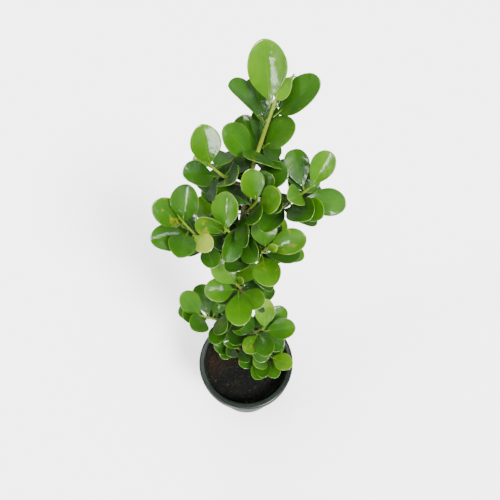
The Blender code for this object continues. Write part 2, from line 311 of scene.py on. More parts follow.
# %% Leaf outline and grid
ACROSS = 16
ALONG = 24
THICK = 0.60 * MM
WIDEST = 0.60
STALK_SHARE = 0.08
TIP_ARC = math.radians(52)
LAYERS = ("along", "off_rib", "off_rim", "under", "tone", "flecked")


def outline(share):
    """Half the blade's width at a share of its length, as a share of the greatest."""
    if share < WIDEST:
        return math.sin(math.pi / 2 * max(share, 0.0) / WIDEST) ** 0.9
    return math.sqrt(max(0.0, 1 - ((share - WIDEST) / (1 - WIDEST)) ** 2))


def blade_spot(t, v):
    """Turn a grid place (t along, v across) into shares of the blade's length and width."""
    if t < 0.5:
        share = WIDEST * 2 * t
        return share, outline(share) * math.sin(v * math.pi / 2)
    s = 2 * t - 1
    rim_turn = s * (math.pi / 2 - TIP_ARC)
    bend = max(s * TIP_ARC, 0.001)
    rib = WIDEST + (1 - WIDEST) * s
    rim = WIDEST + (1 - WIDEST) * math.sin(rim_turn)
    fan = v if s == 1 else (1 - s) * math.sin(v * math.pi / 2) + s * v
    share = rib - (rib - rim) * (1 - math.cos(fan * bend)) / (1 - math.cos(bend))
    return share, math.cos(rim_turn) * math.sin(fan * bend) / math.sin(bend)


def rim_distance(share, y, half, blade):
    """Roughly how far a place on the blade is from its margin."""
    if share < WIDEST:
        return (outline(share) * half - abs(y)) * 0.9
    reach = math.hypot((share - WIDEST) / (1 - WIDEST), y / half)
    span = math.hypot((share - WIDEST) * blade, y)
    return (1 / max(reach, 0.05) - 1) * span


print("half width along the blade:", [round(outline(i / 5), 2) for i in range(6)])


# %% How high each spot of a blade stands
DROOP = 0.45 * MM  # how far the margin turns down
RIB_HALF = 0.60 * MM
GROOVE = 0.22 * MM  # depth of the groove over the midrib
RIB = 0.50 * MM  # height of the rib below it


def blade_height(plan, habit, share, chord, y, v, under):
    """How far a place on the blade stands above the straight line from stalk to tip."""
    length, half = plan["length"], plan["half"]
    reach = abs(y) / half
    z = plan["arch"] * length * chord * (1 - chord)
    z += plan["cup"] * half * reach ** 2
    z += habit["fold"] * (math.sqrt(y * y + MM * MM) - 0.35 * half)
    z += habit["wave"] * reach * math.sin(share * 7.0 + habit["phase"] + (1.6 if y > 0 else 0.0))
    z += habit["twist"] * y * (chord - 0.4)
    z -= DROOP * (max(0.0, abs(v) - 0.8) / 0.2) ** 2 * min(1.0, outline(share) * 3)
    rib = math.exp(-(y / RIB_HALF) ** 2) * (1 - 0.7 * share)
    if under:
        return z - THICK * (1 - 0.5 * abs(v) ** 6) - RIB * rib
    return z - GROOVE * rib


def leaf_habit(seed):
    rng = random.Random(seed)
    return {
        "fold": rng.uniform(0.06, 0.20),
        "wave": rng.uniform(0.1, 0.6) * MM,
        "phase": rng.uniform(0, math.tau),
        "twist": rng.uniform(-0.10, 0.10),
        "bend": rng.uniform(-0.05, 0.05),
        "notch": rng.uniform(0.0, 0.4) * MM,
    }


print("one leaf's habit:", {k: round(v, 4) for k, v in leaf_habit(1).items()})


# %% The blade
NECK = 0.75 * MM  # the blade's half width where it leaves the stalk


def leaf_blade(bm, plan, habit, layers):
    length, half = plan["length"], plan["half"]
    stalk = STALK_SHARE * length
    blade = length - stalk
    rims = []
    for under in (0, 1):
        made = bmesh.ops.create_grid(bm, x_segments=ALONG, y_segments=ACROSS, size=1.0)
        for vert in made["verts"]:
            t, v = (vert.co.x + 1) / 2, vert.co.y
            share, wide = blade_spot(t, v)
            y = wide * half
            if share < 0.12:
                y = math.copysign(max(abs(y), NECK * abs(v)), v)
            vert[layers["along"]] = share
            vert[layers["off_rib"]] = abs(y) / MM
            vert[layers["off_rim"]] = rim_distance(share, y, half, blade) / MM
            vert[layers["under"]] = float(under)
            x = stalk + blade * share - habit["notch"] * share ** 8 * (1 - v * v) ** 4
            chord = x / length
            z = blade_height(plan, habit, share, chord, y, v, under)
            vert.co = (x, y + habit["bend"] * length * chord * (1 - chord), z)
        faces = list(dict.fromkeys(f for vert in made["verts"] for f in vert.link_faces))
        if under:
            bmesh.ops.reverse_faces(bm, faces=faces)
        rims.append([e for f in faces for e in f.edges if e.is_boundary])
    bmesh.ops.bridge_loops(bm, edges=rims[0] + rims[1])


# %% The stalk
STALK = (
    # share of the leaf's length, radius in mm
    (-0.020, 0.95), (0.0, 0.85), (0.04, 0.75), (0.08, 0.72), (0.14, 0.60), (0.22, 0.25),
)
STALK_SUNK = 0.55 * MM  # how far its middle lies below the blade's upper side


def mark(verts, layers, **values):
    """Write the same values to the named attributes of some vertices."""
    for vert in verts:
        for layer, value in values.items():
            vert[layers[layer]] = value


def tube(bm, places, radii, sides):
    """Circles set along a line and bridged to a closed tube, whose vertices it returns."""
    rings, verts = [], []
    for i, (place, radius) in enumerate(zip(places, radii)):
        made = bmesh.ops.create_circle(
            bm, segments=sides, radius=radius, cap_ends=i in (0, len(places) - 1), matrix=place)
        own = set(made["verts"])
        near = dict.fromkeys(edge for vert in made["verts"] for edge in vert.link_edges)
        rings.append([edge for edge in near if set(edge.verts) <= own])
        verts += made["verts"]
    for lower, upper in zip(rings, rings[1:]):
        bmesh.ops.bridge_loops(bm, edges=lower + upper)
    return verts


def leaf_stalk(bm, plan, layers):
    """A tube from just inside the twig to a little way along the midrib."""
    length = plan["length"]
    arch = plan["arch"] * length
    across = Matrix.Rotation(math.pi / 2, 4, "Y")
    places = []
    for share, _ in STALK:
        z = arch * share * (1 - share) if share > 0 else 0.0
        places.append(Matrix.Translation((share * length, 0.0, z - STALK_SUNK)) @ across)
    verts = tube(bm, places, [radius * MM for _, radius in STALK], 10)
    mark(verts, layers, along=0.0, off_rib=0.0, off_rim=0.3, under=0.3)


# %% A whole leaf
def shade_smooth(bm):
    for face in bm.faces:
        face.smooth = True


def new_piece(name, bm, *materials):
    mesh = bpy.data.meshes.new(name)
    bm.to_mesh(mesh)
    bm.free()
    for material in materials:
        mesh.materials.append(material)
    item = bpy.data.objects.new(name, mesh)
    bpy.context.scene.collection.objects.link(item)
    return item


def add_leaf(name, plan, tone, seed, flecked=0.0, **habit):
    """A whole leaf in its place, with the attributes its finish reads."""
    bm = bmesh.new()
    layers = {layer: bm.verts.layers.float.new(layer) for layer in LAYERS}
    leaf_blade(bm, plan, {**leaf_habit(seed), **habit}, layers)
    leaf_stalk(bm, plan, layers)
    bmesh.ops.recalc_face_normals(bm, faces=bm.faces)
    bm.transform(plan["place"])
    mark(bm.verts, layers, tone=tone, flecked=flecked)
    shade_smooth(bm)
    return new_piece(name, bm, leaf_wax)


print("a leaf has", ACROSS * ALONG, "faces on each side and a stalk of", len(STALK), "rings")

# %% [markdown]
# ## The plan's leaves
#
# The two leaves nearest each twig's tip are the youngest and brightest, and they darken
# down the twig. The tone could be drawn at random, but on the real plant it says how old
# a leaf is. So the rule comes first, and a leaf has its own tone where it is clearly
# brighter or darker than the rule gives.

# %% Grow a fine leaf on each planned one
TONE_DOWN_TWIG = (0.70, 0.62, 0.52, 0.46, 0.40, 0.36, 0.34)
OWN_TONE = {
    "leaf_crown_1": 0.80,
    "leaf_crown_2": 0.76,
    "leaf_crown_3": 0.44,
    "leaf_crown_4": 0.42,
    "leaf_crown_5": 0.38,
    "leaf_crown_6": 0.56,
    "leaf_crown_7": 0.54,
    "leaf_trunk_1": 0.36,
    "leaf_high_left_1": 0.70,
    "leaf_high_left_2": 0.46,
    "leaf_high_left_3": 0.34,
    "leaf_high_left_4": 0.30,
    "leaf_high_front_1": 0.66,
    "leaf_high_front_2": 0.70,
    "leaf_right_1": 0.70,
    "leaf_right_2": 0.46,
    "leaf_right_3": 0.64,
    "leaf_right_4": 0.50,
    "leaf_right_5": 0.52,
    "leaf_left_1": 0.54,
    "leaf_left_2": 0.56,
    "leaf_left_3": 0.42,
    "leaf_left_4": 0.42,
    "leaf_left_5": 0.98,
    "leaf_mid_left_1": 0.66,
    "leaf_mid_left_2": 0.62,
    "leaf_mid_right_1": 0.60,
    "leaf_mid_right_2": 0.68,
    "leaf_mid_right_3": 0.58,
    "leaf_middle_1": 0.80,
    "leaf_middle_2": 0.68,
    "leaf_middle_3": 0.60,
    "leaf_middle_4": 0.62,
    "leaf_middle_5": 0.64,
    "leaf_low_left_1": 0.58,
    "leaf_low_left_2": 0.48,
    "leaf_low_right_1": 0.86,
    "leaf_low_right_2": 0.58,
    "leaf_low_right_5": 0.64,
    "leaf_foot_left_1": 0.36,
    "leaf_foot_left_2": 0.34,
    "leaf_foot_right_1": 0.84,
    "leaf_foot_right_2": 0.56,
}
FLECKED = {
    "leaf_left_2": 1.0,
    "leaf_mid_left_2": 0.9,
    "leaf_mid_right_2": 0.7,
    "leaf_mid_right_3": 0.4,
    "leaf_low_right_5": 0.6,
    "leaf_foot_right_2": 0.5,
}
OWN_HABIT = {
    "leaf_crown_2": {"fold": 0.24, "wave": 0.0},
    "leaf_high_left_1": {"fold": 0.30, "wave": 0.0002},
}


def order_on_twig(name):
    return int(name.rsplit("_", 1)[1])


def leaf_tone(name):
    order = min(order_on_twig(name), len(TONE_DOWN_TWIG))
    return OWN_TONE.get(name, TONE_DOWN_TWIG[order - 1])


leaves = {}
for count, name in enumerate(sorted(plans)):
    habit = OWN_HABIT.get(name, {})
    flecked = FLECKED.get(name, 0.0)
    leaf = add_leaf(name + "_fine", plans[name], leaf_tone(name), 100 + count, flecked, **habit)
    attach(leaf, "root")
    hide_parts(name)
    leaves[name] = leaf
print(len(leaves), "fine leaves of", len(leaf.data.polygons), "faces each")

# %% [markdown]
# ## The wood
#
# The trunk and twigs follow the CAD stem's plan. They are tubes first, swollen a little
# where twigs leave, then melted into one skin by a voxel remesh, so each fork has a
# natural fillet. Tubes left as they are would meet in hard creases, and a Skin modifier
# would round the forks but not keep each twig's thickness. The bark is grey-brown below
# and turns green towards every tip, which the `young` attribute says. Faint rings mark
# where older leaves have dropped.

# %% Lines of the trunk and twigs
SOIL_TOP = 94 * MM
TRUNK = 424 * MM
TRUNK_WIDE = (9.5 * MM, 3.0 * MM)  # across the foot and across the tip
TWIG_RADIUS = (1.7 * MM, 1.1 * MM)  # at its start and at its tip
GREEN_TRUNK = 150 * MM  # how far down from its tip the wood is still green
GREEN_TWIG = 45 * MM
TRUNK_LINE = (
    # share of the trunk's height, mm to the right, mm back
    (0.00, 0, 0), (0.25, -1, 14), (0.46, -3, 31), (0.66, -4, 49),
    (0.78, 2, 61), (0.88, 12, 74), (1.00, 25, 83),
)
TWIGS = {
    # where it leaves, as a share of the trunk, and its reach in mm: right, back and up
    "high_left": (0.80, (-29, -16, 47)),
    "high_right": (0.79, (32, -1, 28)),
    "high_front": (0.72, (13, -9, 34)),
    "right": (0.70, (59, -5, 61)),
    "left": (0.54, (-50, -8, 99)),
    "mid_left": (0.65, (-13, -14, 34)),
    "mid_right": (0.58, (24, -16, 46)),
    "middle": (0.45, (-5, -14, 40)),
    "low_left": (0.29, (-48, -10, 45)),
    "low_right": (0.22, (22, -11, 49)),
    "foot_left": (0.11, (-15, -5, 37)),
    "foot_right": (0.06, (32, -11, 42)),
    "back_left": (0.48, (-32, 50, 32)),
    "back_right": (0.38, (32, 52, 44)),
    "back_low": (0.20, (4, 32, 36)),
}


def smooth_line(points, steps):
    ends = [2 * points[0] - points[1], *points, 2 * points[-1] - points[-2]]
    line = []
    for i in range(1, len(ends) - 2):
        before, here, after, later = ends[i - 1:i + 3]
        for step in range(steps):
            t = step / steps
            slope_in = (after - before) / 2
            slope_out = (later - here) / 2
            curve = 2 * here - 2 * after + slope_in + slope_out
            bend = 3 * after - 3 * here - 2 * slope_in - slope_out
            line.append(here + slope_in * t + bend * t ** 2 + curve * t ** 3)
    return line + [points[-1]]


def trunk_line():
    points = [Vector((0, 0, SOIL_TOP - 30 * MM))]
    for share, right, back in TRUNK_LINE:
        points.append(Vector((right * MM, back * MM, SOIL_TOP + share * TRUNK)))
    return smooth_line(points, 14)


def at_height(line, share):
    height = SOIL_TOP + share * TRUNK
    return next(p for p in line if p.z >= height - 0.0001)


def twig_line(start, reach):
    way = Vector(reach) * MM
    elbow = start + Vector((way.x * 0.62, way.y * 0.62, way.z * 0.40))
    line = []
    for i in range(25):
        t = i / 24
        line.append(start * (1 - t) ** 2 + elbow * 2 * t * (1 - t) + (start + way) * t ** 2)
    return line


trunk = trunk_line()
lines = {"crown": trunk, "trunk": trunk}
for name, (share, reach) in TWIGS.items():
    lines[name] = twig_line(at_height(trunk, share), reach)
print("trunk tip at", [round(c / MM) for c in trunk[-1]], "mm;", len(TWIGS), "twigs")


# %% Skin the lines and melt them together
def along_line(line):
    """A place at each point of a line, with its own Z along the line."""
    last = len(line) - 1
    return [facing(spot, line[min(i + 1, last)] - line[max(i - 1, 0)]) for i, spot in enumerate(line)]


def trunk_radius(height):
    share = max(0.0, min(1.0, (height - SOIL_TOP) / TRUNK))
    foot, tip = TRUNK_WIDE
    return (foot + (tip - foot) * share ** 0.8) / 2


def node_swell(distance, spacing, size):
    """The slight swelling at each leaf joint along a twig."""
    return 1 + size * math.exp(-(((distance % spacing) - spacing / 2) / (0.10 * spacing)) ** 2)


def build_wood():
    bm = bmesh.new()
    radii = [trunk_radius(p.z) * node_swell(p.z, 13 * MM, 0.05) for p in trunk]
    tube(bm, along_line(trunk), radii, 20)
    start, tip = TWIG_RADIUS
    for name in TWIGS:
        radii = []
        for i in range(len(lines[name])):
            t = i / (len(lines[name]) - 1)
            flare = 0.9 * MM * math.exp(-t * 9)
            radii.append((start + (tip - start) * t + flare) * node_swell(t * 60, 6.0, 0.10))
        tube(bm, along_line(lines[name]), radii, 14)
    return bm


wood_rough = new_piece("stem_tubes", build_wood())
melt = wood_rough.modifiers.new("melt", "REMESH")
melt.mode = "VOXEL"
melt.voxel_size = 0.55 * MM
relax = wood_rough.modifiers.new("relax", "SMOOTH")
relax.factor = 0.5
relax.iterations = 5
graph = bpy.context.evaluated_depsgraph_get()
wood_mesh = bpy.data.meshes.new_from_object(wood_rough.evaluated_get(graph))
bpy.data.objects.remove(wood_rough)
print("the melted wood has", len(wood_mesh.polygons), "faces")


# %% Bark detail and age
def age_wood(mesh):
    """Ripple the bark and say how young each spot is."""
    count = len(mesh.vertices)
    co = np.empty(count * 3)
    normal = np.empty(count * 3)
    mesh.vertices.foreach_get("co", co)
    mesh.vertices.foreach_get("normal", normal)
    co, normal = co.reshape(-1, 3), normal.reshape(-1, 3)
    young = np.zeros(count)
    best = np.full(count, 1e9)
    for line in lines.values():
        points = np.array(line)
        size = GREEN_TRUNK if line is trunk else GREEN_TWIG
        steps = np.linalg.norm(np.diff(points, axis=0), axis=1)
        to_tip = np.concatenate([np.cumsum(steps[::-1])[::-1], [0.0]])
        for spot, left in zip(points, to_tip):
            gap = np.linalg.norm(co - spot, axis=1)
            near = gap < best
            best[near] = gap[near]
            young[near] = max(0.0, 1 - left / size)
    ripple = [noise.noise(Vector(p) * 420) + 0.5 * noise.noise(Vector(p) * 1100) for p in co]
    push = np.array(ripple) * 0.16 * MM * (1 - 0.7 * young)
    co += normal * push[:, None]
    mesh.vertices.foreach_set("co", co.ravel())
    mesh.attributes.new("young", "FLOAT", "POINT").data.foreach_set("value", young)
    mesh.polygons.foreach_set("use_smooth", [True] * len(mesh.polygons))
    mesh.update()


age_wood(wood_mesh)
print("the bark is rippled and its age is marked")


# %% Bark material and the finished wood
BARK_BROWNS = (
    (0.30, (0.022, 0.016, 0.009)),
    (0.55, (0.060, 0.044, 0.024)),
    (0.75, (0.110, 0.086, 0.050)),
)


def bark_finish():
    g = Finish("ficus_bark", Specular_IOR_Level=0.35)
    young = g.attribute("young")
    place = g.place()
    long = g.add("ShaderNodeMapping", {"Vector": place, "Scale": (1.0, 1.0, 0.35)})
    streak = g.noise(900.0, 4.0, 0.6, long)
    patch = g.noise(60.0, 3.0, 0.5, place)
    bark = g.ramp(streak, BARK_BROWNS)
    bark = g.mix(g.span(patch, 0.4, 0.7, 0.0, 0.5), bark, (0.050, 0.056, 0.018))
    # Lenticels: small pale corky spots
    spots = g.add("ShaderNodeTexVoronoi", {"Vector": place, "Scale": 420.0}, output="Distance")
    bark = g.mix(g.span(spots, 0.10, 0.22, 0.55, 0.0), bark, (0.140, 0.112, 0.066))
    green = g.ramp(streak, ((0.3, (0.095, 0.150, 0.008)), (0.7, (0.170, 0.230, 0.014))))
    share = g.span(g.maths("ADD", young, g.span(patch, 0.3, 0.7, -0.12, 0.12)), 0.25, 0.75)
    colour = g.mix(share, bark, green)
    rough = g.span(young, 0.0, 1.0, 0.78, 0.42)
    relief = g.maths("ADD", streak, g.maths("MULTIPLY", g.span(spots, 0.1, 0.22, 1.0, 0.0), 0.5))
    return g.finish(colour, rough, g.bump(relief, 0.0004, 0.5))


bark = bark_finish()
wood_mesh.materials.append(bark)
wood = bpy.data.objects.new("stem_fine", wood_mesh)
bpy.context.scene.collection.objects.link(wood)
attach(wood, "root")
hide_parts("stem")
print("the bark's finish has", len(bark.node_tree.nodes), "nodes")

# %% [markdown]
# ## More leaves
#
# The CAD plan holds only the largest leaves. The small, young and inner ones are added
# here. Each is described as in the plan: its twig, how far down it grows, the way it
# points, its rise and roll and its size. The leaves that are seen are placed one by one.
# The old ones behind them hide the bare wood and follow a rule: they stand close
# together, each turned on from the last by the golden angle, as leaves are on many
# plants. A particle system would scatter leaves faster, but they would pass through each
# other. Here a leaf that would touch a neighbour is swung a little, nearest swing first,
# and left out if there is no room at all.

# %% The leaves that are placed one by one
MORE_LEAVES = (
    # twig, mm down, turn, rise, roll, size in percent, tone
    ("crown", 9, 38, 39, 20, 72, 0.40),
    ("crown", 50, 70, 66, 0, 84, 0.42),
    ("crown", 76, 80, 72, 0, 92, 0.44),
    ("crown", 64, 108, 36, 0, 86, 0.50),
    ("crown", 44, 16, -58, 60, 62, 0.34),
    ("crown", 80, 290, 40, 30, 66, 0.34),
    ("crown", 90, 107, -11, 0, 86, 0.30),
    ("crown", 100, 353, 0, 35, 86, 0.32),
    ("crown", 112, 128, -40, -40, 84, 0.28),
    ("crown", 122, 205, -20, -20, 76, 0.30),
    ("crown", 131, 60, 10, 0, 84, 0.30),
    ("high_left", 2, 185, 14, -40, 36, 0.92),
    ("high_left", 22, 287, 46, 30, 84, 0.34),
    ("high_left", 27, 60, -20, 0, 80, 0.28),
    ("high_right", 0.5, 193, 39, 22, 92, 0.36),
    ("high_right", 6, 0, -10, 30, 80, 0.36),
    ("high_right", 10, 60, -40, 30, 80, 0.30),
    ("high_right", 15, 100, 0, 0, 80, 0.34),
    ("high_right", 20, 285, 0, 0, 70, 0.30),
    ("high_front", 2, 83, 60, 0, 34, 0.86),
    ("high_front", 13, 150, 30, -20, 78, 0.38),
    ("high_front", 18, 294, 40, 40, 74, 0.34),
    ("right", 24, 44, -15, 20, 80, 0.34),
    ("right", 27, 294, 25, 25, 92, 0.36),
    ("right", 36, 100, 0, 0, 80, 0.30),
    ("right", 44, 95, 25, 0, 80, 0.32),
    ("left", 24, 246, 33, -30, 56, 0.38),
    ("left", 29, 120, 10, 0, 78, 0.32),
    ("left", 44, 300, 10, 0, 66, 0.34),
    ("left", 58, 215, 28, -110, 64, 0.34),
    ("mid_left", 11, 98, 10, 0, 80, 0.38),
    ("mid_left", 15, 150, -30, 0, 82, 0.30),
    ("mid_right", 1, 343, 70, 60, 32, 0.84),
    ("mid_right", 14, 6, -7, 20, 84, 0.34),
    ("mid_right", 25, 110, -30, 0, 78, 0.30),
    ("middle", 2, 341, 74, 60, 34, 0.84),
    ("middle", 22, 22, -15, 20, 84, 0.34),
    ("middle", 26, 153, -27, -10, 80, 0.32),
    ("middle", 31, 3, -45, 20, 80, 0.30),
    ("low_left", 18, 60, 35, 10, 70, 0.44),
    ("low_left", 23, 300, 45, 30, 80, 0.36),
    ("low_left", 27, 83, -23, 8, 76, 0.32),
    ("low_left", 39, 330, 30, 20, 72, 0.34),
    ("low_left", 14, 190, 45, 0, 74, 0.40),
    ("low_left", 31, 262, 20, 0, 74, 0.34),
    ("low_right", 27, 174, 60, -30, 78, 0.40),
    ("low_right", 31, 333, -5, 10, 84, 0.34),
    ("low_right", 35, 292, 0, 0, 80, 0.34),
    ("low_right", 40, 205, 10, -20, 76, 0.32),
    ("foot_left", 9, 242, 51, -20, 64, 0.32),
    ("foot_left", 13, 214, 24, -20, 56, 0.30),
    ("foot_left", 18, 300, 30, 0, 60, 0.34),
    ("foot_left", 22, 120, 10, 0, 66, 0.32),
    ("foot_right", 17, 267, 35, 0, 74, 0.36),
    ("foot_right", 21, 205, 20, -15, 72, 0.34),
    ("foot_right", 25, 26, 12, 10, 74, 0.34),
    ("foot_right", 31, 120, 20, 0, 70, 0.32),
    ("back_left", 16, 150, -10, 0, 82, 0.34),
    ("back_left", 22, 20, 30, 0, 80, 0.38),
    ("back_left", 30, 100, 0, 0, 80, 0.32),
    ("back_right", 16, 20, -10, 0, 82, 0.34),
    ("back_right", 22, 150, 30, 0, 80, 0.38),
    ("back_right", 30, 60, 0, 0, 80, 0.32),
    ("back_low", 6, 30, 20, 0, 82, 0.48),
    ("back_low", 11, 150, 20, 0, 82, 0.42),
    ("back_low", 16, 90, -10, 0, 80, 0.36),
    ("middle", 9, 95, -25, 0, 62, 0.30),
    ("high_left", 9, 95, -30, 0, 60, 0.30),
)
print(len(MORE_LEAVES), "leaves placed one by one")

# %% The old leaves that follow the golden angle
GOLDEN = 137.5
OLD_TWIGS = (
    "high_left", "high_front", "right", "left", "mid_left", "mid_right", "middle", "low_left",
)
# A few places stay bare, so that the leaves in front of them are not crowded
BARE = {
    ("crown", 3), ("crown", 4), ("crown", 8), ("crown", 30), ("left", 0), ("low_left", 1),
    ("high_left", 1),
}


def sway(i, middle, reach, pace):
    """A value that sways about a middle from one leaf to the next."""
    return middle + reach * math.sin(pace * i)


def old_leaves(twig, count, down, turn, size, rise, roll, tone):
    """Rows like those above: down is the first place and the gap, the last three sway."""
    first, gap = down
    return [
        (twig, first + gap * i, (turn + GOLDEN * i) % 360, sway(i, *rise), sway(i, *roll), size,
         sway(i, *tone))
        for i in range(count) if (twig, i) not in BARE
    ]


OLD_LEAVES = old_leaves(
    "crown", 40, (76, 6.5), 200, 84, (12, 26, 1.9), (0, 12, 2.3), (0.30, 0.05, 1.3))
for twig in OLD_TWIGS:
    OLD_LEAVES += old_leaves(
        twig, 4, (25, 7), 90, 78, (5, 24, 2.1), (0, 10, 1.7), (0.31, 0.04, 1.1))
print(len(OLD_LEAVES), "old leaves by the golden angle")

# %% Find room for a leaf
FULL_LENGTH = 47 * MM
FULL_HALF = 14.25 * MM
CLEAR = 0.5 * MM
SWINGS = sorted(
    ((a, b, c) for a in (0, -10, 10, -20, 20, -32, 32) for b in (0, -10, 10, -20, 20)
     for c in (0, -25, 25, -50, 50)),
    key=lambda s: (abs(s[0]) + abs(s[1]) + 0.4 * abs(s[2]), s),
)


def point_on(line, distance):
    for here, after in zip(line, line[1:]):
        step = (after - here).length
        if distance <= step:
            return here.lerp(after, distance / step), (after - here).normalized()
        distance -= step
    return line[-1], (line[-1] - line[-2]).normalized()


def leaf_place(twig, down, turn, rise, roll):
    along, upper = way_of(turn, rise), way_of(turn, rise + 90)
    upper.rotate(Matrix.Rotation(math.radians(roll), 3, along))
    spot, way = point_on(lines[twig][::-1], down * MM)
    out = (along - way * along.dot(way)).normalized()
    radius = sum(TWIG_RADIUS) / 2 + 0.1 * MM if twig in TWIGS else trunk_radius(spot.z)
    turned = Matrix((along, upper.cross(along), upper)).transposed().to_4x4()
    return Matrix.Translation(spot + out * radius) @ turned


def rough_tree(plan, extra):
    """A coarse stand-in for a leaf, used only to see whether leaves touch."""
    length, half = plan["length"], plan["half"]
    bm = bmesh.new()
    for lift in (extra, -THICK - extra):
        made = bmesh.ops.create_grid(bm, x_segments=6, y_segments=4, size=1.0)
        for vert in made["verts"]:
            share, v = (vert.co.x + 1) / 2, vert.co.y
            x = (STALK_SHARE + (1 - STALK_SHARE) * share) * length
            y = v * (outline(min(share, 0.97)) * half + extra)
            chord = x / length
            z = plan["arch"] * length * chord * (1 - chord) + plan["cup"] * y * y / half
            vert.co = plan["place"] @ Vector((x, y, z + lift))
    tree = BVHTree.FromBMesh(bm)
    bm.free()
    return tree


taken = [rough_tree(plan, 0.0) for plan in plans.values()]
wood_tree = BVHTree.FromObject(wood, graph)
left_out = []


def grow_extra(count, twig, down, turn, rise, roll, size, tone):
    plan = {
        "length": FULL_LENGTH * size / 100,
        "half": FULL_HALF * size / 100,
        "arch": sway(count, 0.09, 0.04, 2.4),
        "cup": sway(count, 0.2, 0.08, 1.7),
    }
    for swing in SWINGS:
        plan["place"] = leaf_place(twig, down, turn + swing[0], rise + swing[1], roll + swing[2])
        tree = rough_tree(plan, CLEAR)
        if not any(tree.overlap(other) for other in taken) and not tree.overlap(wood_tree):
            taken.append(rough_tree(plan, 0.0))
            leaf = add_leaf("leaf_extra_%s_%d" % (twig, down), plan, tone, 300 + count)
            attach(leaf, "root")
            return leaf
    left_out.append((twig, down))
    return None


extras = [grow_extra(i, *row) for i, row in enumerate((*MORE_LEAVES, *OLD_LEAVES))]
print(sum(e is not None for e in extras), "more leaves; no room for", left_out)

# %% [markdown]
# ## Growing tips
#
# Each twig ends in a bud wrapped in a pointed sheath. It is a spun spindle, a little
# bent, in the brightest leaf green. A cone would do for so small a thing, but it would
# lack the swelling at the foot, which catches the light.


# %% Buds
BUD_RADIUS = 1.05 * MM
BUD_PROFILE = (
    # share of the radius, share of the length
    (0.55, -0.10), (0.85, 0.05), (1.0, 0.22), (0.85, 0.48), (0.50, 0.76), (0.18, 0.94), (0.0, 1.0),
)


def spun(bm, profile, steps):
    """Turn a profile of points round Z, and weld its seam and its poles."""
    verts = [bm.verts.new(spot) for spot in profile]
    edges = [bm.edges.new(pair) for pair in zip(verts, verts[1:])]
    bmesh.ops.spin(
        bm, geom=verts + edges, cent=(0, 0, 0), axis=(0, 0, 1), angle=math.tau, steps=steps,
        use_merge=True)
    bmesh.ops.remove_doubles(bm, verts=bm.verts, dist=0.01 * MM)
    bmesh.ops.recalc_face_normals(bm, faces=bm.faces)


def add_bud(name, spot, way, length, seed):
    bm = bmesh.new()
    layers = {layer: bm.verts.layers.float.new(layer) for layer in LAYERS}
    spun(bm, [(share * BUD_RADIUS, 0, height * length) for share, height in BUD_PROFILE], 12)
    bmesh.ops.holes_fill(bm, edges=[e for e in bm.edges if e.is_boundary])
    lean = random.Random(seed).uniform(-0.2, 0.2)
    for vert in bm.verts:
        vert.co.x += lean * vert.co.z ** 2 / length
    mark(bm.verts, layers, along=0.5, off_rib=3.0, off_rim=3.0, tone=0.90)
    bmesh.ops.recalc_face_normals(bm, faces=bm.faces)
    shade_smooth(bm)
    bm.transform(facing(spot, way))
    bud = new_piece(name, bm, leaf_wax)
    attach(bud, "root")
    return bud


for i, name in enumerate(["crown", *TWIGS]):
    line = lines[name]
    way = (line[-1] - line[-3]).normalized()
    add_bud("bud_" + name, line[-1] - way * 0.4 * MM, way, (7 + 2 * (i % 3)) * MM, 500 + i)
print(len(TWIGS) + 1, "buds")

# %% [markdown]
# ## The pot
#
# A thin moulded nursery pot: a tapered wall with one faint step and a broad lip that
# folds down into a skirt. It could be cut out of a cylinder with insets and extrusions.
# A profile of short straights and rounded corners, spun round Z, is easier to read and
# has the true wall in one go. Drain holes are then cut through the floor. The plastic is
# a glossy black-green, lightly scuffed, with a trace of dried soil on the inner wall.


# %% Pot profile
RIM = 65 * MM
POT_TOP = 118 * MM
WALL = 1.8 * MM
FLOOR = 2.6 * MM
DRAIN = 4.5 * MM
DRAINS = 8
BASE = 46 * MM
WALL_TOP = 59 * MM
FAINT_STEP = 0.35 * MM
SKIRT_FOOT = POT_TOP - 14.5 * MM
UNDER_LIP = POT_TOP - 3.4 * MM


def wall_radius(height):
    return BASE + (WALL_TOP - BASE) * height / POT_TOP


def rounded(corners, size, steps=4):
    """Round each inner corner of a profile with a short curve of the given size."""
    line = [corners[0]]
    for before, corner, after in zip(corners, corners[1:], corners[2:]):
        into = (corner - before).normalized() * min(size, (corner - before).length * 0.45)
        out = (after - corner).normalized() * min(size, (after - corner).length * 0.45)
        for i in range(steps + 1):
            t = i / steps
            start, end = (corner - into) * (1 - t) ** 2, (corner + out) * t ** 2
            line.append(start + corner * 2 * t * (1 - t) + end)
    return line + [corners[-1]]


def pot_profile():
    inner = wall_radius(POT_TOP) - WALL
    corners = [(0, FLOOR), (wall_radius(FLOOR) - WALL - 1.0 * MM, FLOOR)]
    corners += [(wall_radius(h * MM) - WALL, h * MM) for h in (4.6, 30, 60, 90, 104)]
    corners += [(inner, POT_TOP - 1.6 * MM), (inner + 0.9 * MM, POT_TOP - 0.1 * MM)]
    corners += [(inner + 2.6 * MM, POT_TOP), (RIM - 1.2 * MM, POT_TOP), (RIM, POT_TOP - 1.4 * MM)]
    corners += [(RIM - 0.4 * MM, POT_TOP - 7.0 * MM), (RIM - 0.8 * MM, SKIRT_FOOT)]
    corners += [(RIM - 0.9 * MM - WALL, SKIRT_FOOT), (RIM - WALL - 0.4 * MM, UNDER_LIP)]
    corners += [(wall_radius(UNDER_LIP), UNDER_LIP)]
    corners.append((wall_radius(96 * MM) + FAINT_STEP, 96 * MM))
    corners += [(wall_radius(h * MM), h * MM) for h in (92, 60, 56, 24, 20)]
    corners += [(BASE + 0.1 * MM, 2.0 * MM), (BASE - 1.6 * MM, 0.0), (BASE - 4.0 * MM, 0.0)]
    corners += [(BASE - 4.8 * MM, 0.6 * MM), (11.0 * MM, 0.6 * MM), (10.4 * MM, 0.0), (0, 0)]
    return rounded([Vector((r, 0, h)) for r, h in corners], 0.9 * MM)


